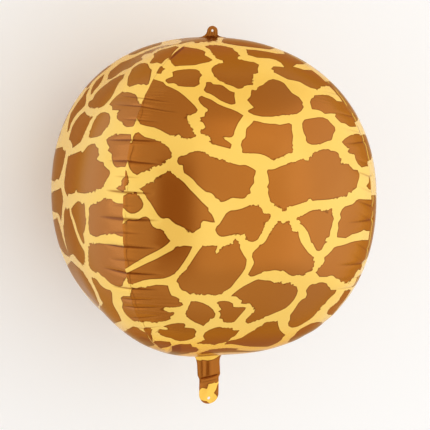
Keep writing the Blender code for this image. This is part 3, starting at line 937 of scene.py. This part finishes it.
class NodeTree:
    def __init__(self, owner, shader):
        owner.use_nodes = True
        self.nodes = owner.node_tree.nodes
        self.links = owner.node_tree.links
        self.shader = self.nodes[shader]

    def make(self, kind, settings, sockets, output=0):
        made = self.nodes.new(kind)
        for name, value in settings.items():
            setattr(made, name, value)
        for name, value in sockets.items():
            self.feed(made.inputs[name], value)
        return Wire(self, made.outputs[output])

    def feed(self, socket, value):
        if isinstance(value, Wire):
            self.links.new(value.socket, socket)
        else:
            socket.default_value = value

    def attribute(self, name):
        return self.make("ShaderNodeAttribute", {"attribute_name": name}, {}, "Fac")

    def noise(self, scale, detail):
        place = self.make("ShaderNodeTexCoord", {}, {}, "Object")
        sockets = {"Vector": place, "Scale": scale, "Detail": detail}
        return self.make("ShaderNodeTexNoise", {}, sockets, "Fac")

    def mix(self, factor, first, second, blend="MIX"):
        sockets = {"Factor": factor, 6: first, 7: second}
        return self.make("ShaderNodeMix", {"data_type": "RGBA", "blend_type": blend}, sockets, 2)

    def bump(self, height, distance, strength):
        sockets = {"Height": height, "Distance": distance, "Strength": strength}
        return self.make("ShaderNodeBump", {}, sockets)

    def dot(self, vector, other):
        sockets = {0: vector, 1: other}
        return self.make("ShaderNodeVectorMath", {"operation": "DOT_PRODUCT"}, sockets, "Value")

    def surface(self, **sockets):
        for name, value in sockets.items():
            self.feed(self.shader.inputs[name.replace("_", " ")], value)


def newFinish(name):
    material = bpy.data.materials.new(name)
    return material, NodeTree(material, "Principled BSDF")


def colour(red, green, blue):          # from screen values out of 255
    parts = [part / 255 for part in (red, green, blue)]
    linear = [((part + 0.055) / 1.055) ** 2.4 if part > 0.04 else part / 12.92 for part in parts]
    return (*linear, 1)


foil = {
    "brown": colour(179, 110, 42),
    "brownDeep": colour(175, 105, 38),
    "brownRim": colour(124, 64, 10),
    "rimShare": 0.75,
    "yellow": colour(255, 215, 112),
    "yellowDeep": colour(252, 205, 94),
    "deepYellowShare": 0.5,
    "brownEndShade": colour(152, 90, 32),   # painted shade, deeper towards the ends where the film gathers
    # the same painted shade on the yellow
    "yellowEndShade": colour(253, 198, 74),
    "paintedShade": (0.42, 0.26, 0.10, 1),   # what the painted shade leaves of the ink's colour, in creases, folds, ripples and at the welds
    "grooveFull": 0.7,
    "grooveShade": 0.9,
    "weldShade": 0.7,
    "weldLine": (0.0001, 0.0006),      # half width of the painted dark line beside the left weld, full and faded
    "rippleShade": 0.50,
    "rippleFrom": 0.35,
    "breaks": 38.0,                    # how finely the lines at the welds break up
    "broken": (0.42, 0.56),
    "goldGlint": colour(255, 222, 128),     # painted glint: a golden line beside the right weld
    "goldLine": (0.0012, 0.0022),
    "goldBreaks": 1.7,
    "goldBroken": (0.36, 0.44),
    "goldShadow": (0.0006, 0.0014),
    "mottle": 9.0,
    "mottled": (0.35, 0.65),
    "mottleRoughness": 0.03,
    "crinkle": 260.0,
    "crinkleDepth": 0.00006,
    "crinkleStrength": 0.2,
    "edgeTint": (0.68, 0.44, 0.16, 1),
    "paintedLight": (1, 0.88, 0.68, 1),       # painted light: a faint warm paleness laid over the ink
    "paintedLightShare": 0.085,
    "roughness": 0.21,
    "yellowMetal": 0.27,
    "brownMetal": 0.92,
    "endMetal": 0.35,                  # more of it towards the ends, under the painted end shade
    "coat": 0.05,
    "coatRoughness": 0.08,
}


# A line at a distance from the weld, 1 along its middle: the mask of the painted glint and the painted dark
# lines there
def weldLine(skin, distance, width):
    return 1 - abs(skin.attribute("fromWeld") - distance).ramp(*width)


def printedFoil():
    material, skin = newFinish("printed foil")
    # Painted shade towards the ends deepens both inks there
    gathered = skin.attribute("gathered")
    fray = skin.noise(prints["raggedStretch"], 1.0).ramp(*prints["frays"]) * prints["ragged"]
    depth = skin.attribute("patchDepth") + (skin.noise(prints["raggedScale"], 2.0) - 0.5) * fray
    inside = depth.ramp(-prints["edge"], prints["edge"])
    rim = 1 - depth.ramp(prints["edge"], prints["rim"])
    mottle = skin.noise(foil["mottle"], 3.0).ramp(*foil["mottled"])
    brown = skin.mix(mottle, foil["brown"], foil["brownDeep"])
    brown = skin.mix(gathered, brown, foil["brownEndShade"])
    brown = skin.mix(rim * foil["rimShare"], brown, foil["brownRim"])
    yellow = skin.mix(mottle * foil["deepYellowShare"], foil["yellow"], foil["yellowDeep"])
    yellow = skin.mix(gathered, yellow, foil["yellowEndShade"])
    ink = skin.mix(inside, yellow, brown)

    # Painted glint: a broken golden line beside the right weld, with a painted dark line beside it
    onGlint = skin.attribute("weldGlint")
    broken = skin.noise(foil["breaks"], 1.0).ramp(*foil["broken"])
    goldBroken = skin.noise(foil["breaks"] * foil["goldBreaks"], 1.0).ramp(*foil["goldBroken"])
    goldGlint = weldLine(skin, film["goldAt"], foil["goldLine"]) * goldBroken
    ink = skin.mix(goldGlint * onGlint, ink, foil["goldGlint"])
    # Painted shade: a broken dark line along the left weld
    plainShade = weldLine(skin, film["weldWidth"], foil["weldLine"]) * broken * (1 - onGlint)
    goldShade = weldLine(skin, film["goldAt"] - film["goldLine"], foil["goldShadow"]) * broken * onGlint
    # Painted shade in the troughs of the ripples
    trough = 1 - abs(skin.attribute("ripplePhase").math("SINE"))
    ripple = trough.ramp(foil["rippleFrom"], 1.0) * skin.attribute("rippleStrength")
    # Painted shade: darker ink in the creases and folds, in the ripples' troughs and in the lines at the
    # welds
    dark = skin.attribute("paintedShade").ramp(0.0, foil["grooveFull"]) * foil["grooveShade"]
    dark = dark.orMore(plainShade * foil["weldShade"]).orMore(goldShade)
    dark = dark.orMore(ripple * foil["rippleShade"])
    ink = skin.mix(dark, ink, foil["paintedShade"], "MULTIPLY")
    # Painted light: the ink paled towards warm white
    ink = skin.mix(skin.attribute("paintedLight") * foil["paintedLightShare"], ink, foil["paintedLight"])

    metal = foil["yellowMetal"] + gathered * foil["endMetal"]
    crinkle = skin.noise(foil["crinkle"], 1.0)
    skin.surface(
        Base_Color=ink,
        Roughness=foil["roughness"] + foil["mottleRoughness"] * mottle,
        Metallic=metal + (foil["brownMetal"] - metal) * inside,
        Specular_Tint=foil["edgeTint"],
        Coat_Weight=foil["coat"],
        Coat_Roughness=foil["coatRoughness"],
        Normal=skin.bump(crinkle, foil["crinkleDepth"], foil["crinkleStrength"]),
    )
    return material


foilMaterial = printedFoil()


def addObject(name, bm):
    mesh = bpy.data.meshes.new(name)
    bm.to_mesh(mesh)
    bm.free()
    item = bpy.data.objects.new(name, mesh)
    bpy.context.collection.objects.link(item)
    return item


def addPiece(name, bm, material):
    piece = addObject(name, bm)
    piece.data.shade_smooth()
    piece.data.materials.append(material)
    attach(piece, "root")
    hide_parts(solidNode)
    return piece


filmMarks = ["paintedShade", "fromWeld", "ripplePhase", "rippleStrength", "weldGlint", "paintedLight", "gathered"]


def setPoints(bm, places, **values):
    layers = {name: bm.verts.layers.float.new(name) for name in values}
    for number, vert in enumerate(bm.verts):
        vert.co = places[number]
        for name, layer in layers.items():
            vert[layer] = values[name][number]


# Panels

# Painted light: the ink is made paler towards the top panel's right edge, on the panels that don't show,
# and on the left panel, most in one stripe along it
paintedLight = {
    "top": 0.25,              # at the right edge of the top panel
    "topFull": 0.7,
    "hidden": 0.2,
    "left": 0.4,
    "stripe": 0.9,            # more of the painted light in one stripe along the left panel
    "stripeAt": 0.60,         # in half panels from the panel's middle
    "stripeWidth": 0.17,
}


def paintedLightOf(number, across):
    top = smoothStep(0, paintedLight["topFull"], across) * paintedLight["top"]
    stripe = bell(across - paintedLight["stripeAt"], paintedLight["stripeWidth"]) * paintedLight["stripe"]
    return (top, paintedLight["hidden"], paintedLight["hidden"], paintedLight["left"] + stripe)[number]


def makePanel(number):
    bm = bmesh.new()
    bmesh.ops.create_grid(bm, x_segments=ball["columns"], y_segments=ball["rows"], size=1)
    flat = np.array([vert.co[:2] for vert in bm.verts])
    across = flat[:, 0] + ball["crowding"] * np.sin(math.pi * flat[:, 0]) / math.pi
    turn = (number + across / 2) * quarter
    latitude = flat[:, 1] * quarter
    lift, marks = filmLift(number, turn, latitude, across)
    places = ballPoint(turn, latitude, lift)
    sheet = toSheet(turn, latitude, number * quarter)
    depth = patchDepth(panelNames[number], sheet, facingCamera(turn, latitude), places)
    # the right weld's side gets the painted golden glint
    nearRightWeld = (number == 1) | (number == 0) & (across > 0)
    marks["weldGlint"] = nearRightWeld.astype(float)
    # Painted shade towards both ends
    tailwards = smoothStep(*film["tailEndShade"], -latitude)
    marks["gathered"] = tailwards + film["tabEndShading"] * smoothStep(*film["tabEndShade"], latitude)
    # Painted light, halved where the painted end shade is full
    marks["paintedLight"] = paintedLightOf(number, across) * (1 - marks["gathered"] / 2)
    setPoints(bm, places, patchDepth=depth, **marks)
    bmesh.ops.remove_doubles(bm, verts=bm.verts, dist=ball["merge"])
    bmesh.ops.recalc_face_normals(bm, faces=bm.faces)
    return addPiece(panelNames[number], bm, foilMaterial)


for number in range(4):
    makePanel(number)
    print("panel", panelNames[number])


# Strips of film at the ends: closed tubes that run from inside the ball to a rounded end

def stripStations(strip):
    straight = np.linspace(-strip["root"], strip["length"] - strip["width"] / 2, strip["rows"])
    bend = np.linspace(0, quarter, strip["endRows"])[1:]
    return np.append(straight, strip["length"] - strip["width"] / 2 * (1 - np.sin(bend)))


# What is left of the fillet at the ball, from 1 there to 0 where the neck ends
def fillet(along, neck):
    spread = np.clip(1 - along / neck, 0, 1)
    return 1 - np.sqrt(1 - spread ** 2)


# Width of a strip along its length, with the fillet at the ball and the rounded end
def stripWidth(strip, along, tube, neck):
    half = strip["width"] / 2
    past = np.clip((along - strip["length"] + half) / half, 0, 1)
    return (tube + (strip["neckWidth"] - tube) * fillet(along, neck)) * np.sqrt(1 - past ** 2)


# Closer than this, points of a strip become one
stripMerge = 0.000005


def makeStrip(name, strip, direction, shape):
    stations = stripStations(strip)
    bm = bmesh.new()
    bmesh.ops.create_grid(bm, x_segments=strip["sides"], y_segments=len(stations) - 1, size=1)
    flat = np.array([vert.co[:2] for vert in bm.verts])
    angle = flat[:, 0] * math.pi
    along = stations[np.round((flat[:, 1] + 1) / 2 * (len(stations) - 1)).astype(int)]
    across, up = shape(along, angle)
    y = direction * (halfLength + along)
    outlines = [toLevel(outline, centreHeight) for outline in strip["outlines"]]
    points = np.stack([across, y], -1)
    depth = depthInsideAny(points, outlines) if outlines else np.full(len(points), -prints["nothing"])
    marks = {mark: np.zeros(len(points)) for mark in filmMarks}
    # The strip's painted shade, even all over it
    marks["gathered"] = np.full(len(points), strip["gathered"])
    places = np.stack([across, y, centreHeight + up], -1)
    setPoints(bm, places, patchDepth=depth, **marks)
    bmesh.ops.remove_doubles(bm, verts=bm.verts, dist=stripMerge)
    bmesh.ops.holes_fill(bm, edges=bm.edges)
    bmesh.ops.recalc_face_normals(bm, faces=bm.faces)
    piece = addPiece(name, bm, foilMaterial)
    holeAt = halfLength + strip["length"] - strip["holeToEnd"]
    punchHole(piece, strip["hole"], strip["lean"], direction * holeAt)
    return piece


punches = {"sides": 48, "depth": 0.02}


def punchHole(piece, diameter, x, y):
    bm = bmesh.new()
    half = diameter / 2
    bmesh.ops.create_cone(
        bm,
        cap_ends=True,
        segments=punches["sides"],
        radius1=half,
        radius2=half,
        depth=punches["depth"],
    )
    bmesh.ops.translate(bm, verts=bm.verts, vec=(x, y, centreHeight))
    punch = addObject("punch", bm)
    cut = piece.modifiers.new("hole", "BOOLEAN")
    cut.operation = "DIFFERENCE"
    cut.solver = "EXACT"
    cut.object = punch
    bpy.context.view_layer.update()
    evaluated = piece.evaluated_get(bpy.context.evaluated_depsgraph_get())
    done = bpy.data.meshes.new_from_object(evaluated)
    piece.modifiers.remove(cut)
    piece.data = done
    bpy.data.objects.remove(punch, do_unlink=True)


edgeRounding = 0.3            # power on the sine across a weld: the less, the squarer its edge


# Height of a film tube over its middle plane: a thin weld at each edge, and puffed between
def tubeHeight(strip, along, angle, puff):
    inner = np.sqrt(np.clip(1 - (np.cos(angle) / strip["flange"]) ** 2, 0, 1))
    edge = strip["edge"] * endTaper(strip, along) * np.abs(np.sin(angle)) ** edgeRounding
    return np.sign(np.sin(angle)) * (edge + np.maximum(puff, 0) * inner)


def endTaper(strip, along):
    return smoothStep(strip["length"], strip["length"] - strip["endTaper"], along)


# Pleats at the ball's end of a strip, at places across or round it
def pleatHeight(strip, along, places):
    pleats = strip["pleats"] * np.cos(places * strip["pleatRate"])
    return pleats * smoothStep(*strip["pleatsFade"], along) * smoothStep(*strip["pleatsFrom"], along)


tab = {
    "root": 0.010,
    "length": 0.0137,
    "width": 0.0135,
    "neck": 0.0040,
    "leftNeck": 0.0085,
    "neckWidth": 0.034,
    "neckThickness": 0.0105,
    "edge": 0.00030,
    "sides": 96,
    "rows": 90,
    "endRows": 24,
    "hole": 0.0030,
    "holeToEnd": 0.0058,
    "outlines": [],
    "pleats": 0.0009,
    "pleatRate": 14,
    "pleatsFade": (0.012, 0.0),
    "pleatsFrom": (-0.004, 0.002),
    "endTaper": 0.0006,       # length over which the weld thins at the very end
    "flange": 0.94,           # how far out the puffed part goes
    "lean": 0.0,
    # painted shade over the whole tab
    "gathered": 1.0,
}


def tabShape(along, angle):
    share = np.cos(angle)
    width = stripWidth(tab, along, tab["width"], np.where(share < 0, tab["leftNeck"], tab["neck"]))
    puff = tab["neckThickness"] / 2 * fillet(along, tab["neck"]) + pleatHeight(tab, along, share)
    return width / 2 * share, tubeHeight(tab, along, angle, puff)


tail = {
    "root": 0.010,
    "length": 0.0719,
    "width": 0.0260,
    "neck": 0.0185,
    "neckWidth": 0.066,
    "lean": 0.0020,           # how far its flat end stands to the right
    "leanEnd": 0.045,
    "neckThickness": 0.030,
    "tubeWidth": 0.0302,
    "tubeThickness": 0.0135,
    "tubeEnd": 0.0368,
    "tubeNarrows": (-0.004, 0.002),    # from the tube's end
    "puffFades": (-0.0045, 0.0005),    # from the slanted seal
    "puffPower": 0.8,
    "puffSink": 0.0012,
    "foldsFade": (-0.004, 0.002),
    "seal": 0.0052,
    "sealSlant": 0.16,
    "sealHeight": 0.0010,
    "sealEdge": 0.0012,
    "edge": 0.00030,
    "endTaper": 0.0008,
    "flange": 0.95,
    "sides": 160,
    "rows": 200,
    "endRows": 30,
    "hole": 0.0040,
    "holeToEnd": 0.0075,
    "outlines": tailOutlines,
    # painted shade over the tail
    "gathered": 0.55,
    "pleats": 0.0003,
    "pleatRate": 13,
    "pleatsFade": (0.016, 0.0),
    "pleatsFrom": (-0.006, 0),
    "wave": 0.0007,           # of the flat end
    "waveRates": (260, 150),
    "waveWidth": 0.011,
    "waveFrom": 0.004,
    # lengthwise folds: place across, half width, height, how far along it runs
    "folds": [(-0.70, 0.16, 0.0004, 0.042), (-0.34, 0.20, -0.0008, 0.046), (0.20, 0.30, 0.0004, 0.040),
              (0.70, 0.10, -0.0005, 0.040), (0.86, 0.08, 0.0004, 0.040)],
    "foldsFrom": (-0.002, 0.008),
    "foldEnd": 0.008,
    "foldSway": 0.04,
    "foldSwayRate": 120,
}


# How far the tail's tube stands above its middle plane, where seal is the distance past its seal
def tailPuff(along, angle, seal):
    neck = (tail["neckThickness"] - tail["tubeThickness"]) / 2 * fillet(along, tail["neck"])
    tube = (1 - smoothStep(*tail["puffFades"], seal)) ** tail["puffPower"]
    puff = (tail["tubeThickness"] / 2 - tail["puffSink"]) * tube + neck
    swayed = np.cos(angle) - tail["foldSway"] * np.sin(along * tail["foldSwayRate"])
    fade = (1 - smoothStep(*tail["foldsFade"], seal)) * smoothStep(*tail["foldsFrom"], along)
    for place, half, height, reach in tail["folds"]:
        run = 1 - smoothStep(reach - tail["foldEnd"], reach, along)
        puff = puff + height * bell(swayed - place, half) * run * fade
    band = smoothStep(0, tail["sealEdge"], seal)
    band = band * (1 - smoothStep(tail["seal"] - tail["sealEdge"], tail["seal"], seal))
    return puff + tail["sealHeight"] * band + pleatHeight(tail, along, angle)


def tailShape(along, angle):
    first, last = tail["tubeNarrows"]
    narrow = smoothStep(tail["tubeEnd"] + first, tail["tubeEnd"] + last, along)
    tube = tail["tubeWidth"] + (tail["width"] - tail["tubeWidth"]) * narrow
    across = stripWidth(tail, along, tube, tail["neck"]) / 2 * np.cos(angle)
    seal = along + tail["sealSlant"] * across - tail["tubeEnd"]
    acrossRate, alongRate = tail["waveRates"]
    wave = tail["wave"] * smoothStep(tail["seal"], tail["seal"] + tail["waveFrom"], seal)
    wave = wave * np.sin(across * acrossRate + along * alongRate) * bell(across, tail["waveWidth"])
    up = tubeHeight(tail, along, angle, tailPuff(along, angle, seal)) + wave * endTaper(tail, along)
    return across + tail["lean"] * smoothStep(0, tail["leanEnd"], along), up


makeStrip("hanging_tab", tab, 1, tabShape)
makeStrip("filling_tail", tail, -1, tailShape)
print("tab and tail made")


# Floor and light

studio = {
    "floor": 3.0,
    "floorColour": (0.93, 0.95, 0.975, 1),
    "floorRoughness": 0.9,
    "floorGlow": 0.08,                 # the floor is a lit white table
    "world": 0.92,
    "gap": math.radians(-20),          # turn of the dim gap between the softboxes
    "gapColour": (0.58, 0.39, 0.19, 1),
    "gapWidth": (0.20, 0.34),
    "gapTop": (0.25, 0.65),            # where the gap ends, towards the tab
    "gapTail": (0.30, 0.80),           # and towards the tail
    "gapRise": 0.3,                    # how far above the horizon it is at its dimmest
    "endColour": (0.95, 0.86, 0.72, 1),        # past the ends of the softboxes
    "endFrom": (0.40, 0.90),
    "tailEndColour": (0.80, 0.72, 0.62, 1),
    "tailEndFrom": (0.88, 1.0),
}

# Softboxes stand about the ball at a turn, as points of it do. Each has its distance, its size
# round the ball and along it, how far it stands towards the tab, and how bright it looks.
softboxes = {
    "right softbox": {"turn": 60, "distance": 2.6, "size": (4.0, 6.0), "along": 0.9, "bright": 0.31},
    "top softbox": {"turn": 14, "distance": 2.8, "size": (1.7, 6.0), "along": 0.9, "bright": 0.22},
    "left softbox": {"turn": -80, "distance": 3.0, "size": (1.7, 6.0), "along": 0.4, "bright": 0.33},
}


def makeFloor():
    bm = bmesh.new()
    bmesh.ops.create_grid(bm, x_segments=1, y_segments=1, size=studio["floor"])
    floor = addObject("floor", bm)
    material, paint = newFinish("floor paint")
    paint.surface(Base_Color=studio["floorColour"], Roughness=studio["floorRoughness"])
    paint.surface(Emission_Color=studio["floorColour"], Emission_Strength=studio["floorGlow"])
    floor.data.materials.append(material)


# White all round, dimmer in one gap, which the film mirrors as a dark band beside its left weld
def makeSky():
    world = bpy.data.worlds.new("studio")
    sky = NodeTree(world, "Background")
    direction = sky.make("ShaderNodeTexCoord", {}, {}, "Generated")
    gap = studio["gap"]
    aside = sky.dot(direction, (math.cos(gap), 0, -math.sin(gap)))
    upward = sky.dot(direction, (math.sin(gap), 0, math.cos(gap)))
    dim = (1 - abs(aside).ramp(*studio["gapWidth"])) * upward.ramp(0, studio["gapRise"])
    toTab = sky.dot(direction, (0, 1, 0))
    toTail = sky.dot(direction, (0, -1, 0))
    dim = dim * (1 - toTab.ramp(*studio["gapTop"])) * (1 - toTail.ramp(*studio["gapTail"]))
    shade = sky.mix(dim, (1, 1, 1, 1), studio["gapColour"])
    shade = sky.mix(toTab.ramp(*studio["endFrom"]), shade, studio["endColour"])
    shade = sky.mix(toTail.ramp(*studio["tailEndFrom"]), shade, studio["tailEndColour"])
    sky.surface(Color=shade, Strength=studio["world"])
    return world


def addSoftbox(name, box):
    turn = math.radians(box["turn"])
    data = bpy.data.lights.new(name, "AREA")
    data.shape = "RECTANGLE"
    data.size, data.size_y = box["size"]
    data.energy = box["bright"] * math.pi * box["size"][0] * box["size"][1]
    lamp = bpy.data.objects.new(name, data)
    out = Vector((math.sin(turn), 0, math.cos(turn)))
    lamp.location = ballMiddle + out * box["distance"] + Vector((0, box["along"], 0))
    around = Vector((math.cos(turn), 0, -math.sin(turn)))
    lamp.rotation_euler = Matrix((around, (0, 1, 0), around.cross((0, 1, 0)))).transposed().to_euler()
    bpy.context.collection.objects.link(lamp)


makeFloor()
bpy.context.scene.world = makeSky()
bpy.context.scene.view_settings.view_transform = "Standard"
for name, box in softboxes.items():
    addSoftbox(name, box)
print("studio lit")
